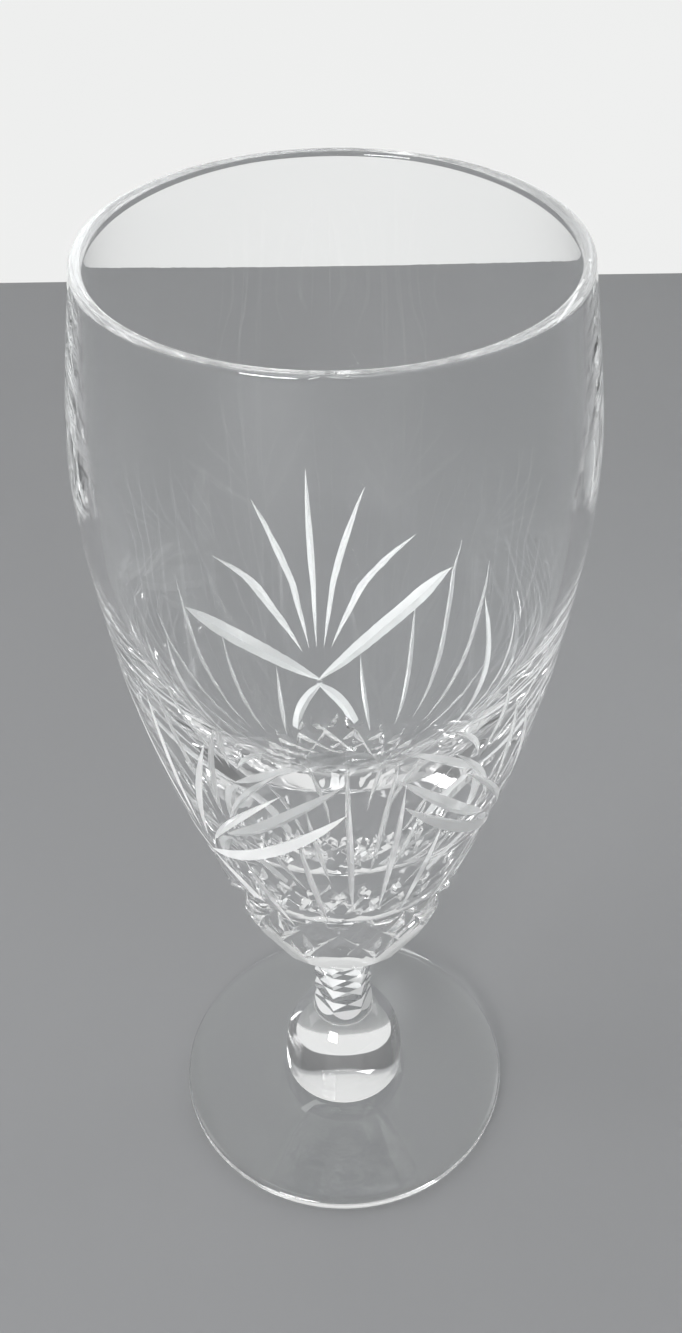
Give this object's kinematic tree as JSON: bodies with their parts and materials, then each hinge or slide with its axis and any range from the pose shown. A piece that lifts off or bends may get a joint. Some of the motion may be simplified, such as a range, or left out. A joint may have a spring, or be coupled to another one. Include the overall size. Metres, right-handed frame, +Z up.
{
  "type": "iced tea glass",
  "caption": "Tall stemmed drinking glass of clear cut crystal: deep bowl cut with fans, plumes and a lattice of diamonds, notched six-sided stem, domed knop and round foot.",
  "frame": {"origin": "middle of the foot's underside, on the surface that the glass stands on", "axes": "+Z up along the glass's axis, towards the rim; one fan of cuts on the bowl faces +Y"},
  "size_m": [0.078, 0.078, 0.19],
  "materials": {
    "bowl_crystal": "polished clear crystal, cut faces bright",
    "stem_crystal": "polished clear crystal, cut flats",
    "knop_crystal": "fire polished clear crystal",
    "foot_crystal": "fire polished clear crystal"
  },
  "bodies": {
    "root": {"bowl": "bowl_crystal", "stem": "stem_crystal", "knop": "knop_crystal", "foot": "foot_crystal"}
  },
  "joints": []
}
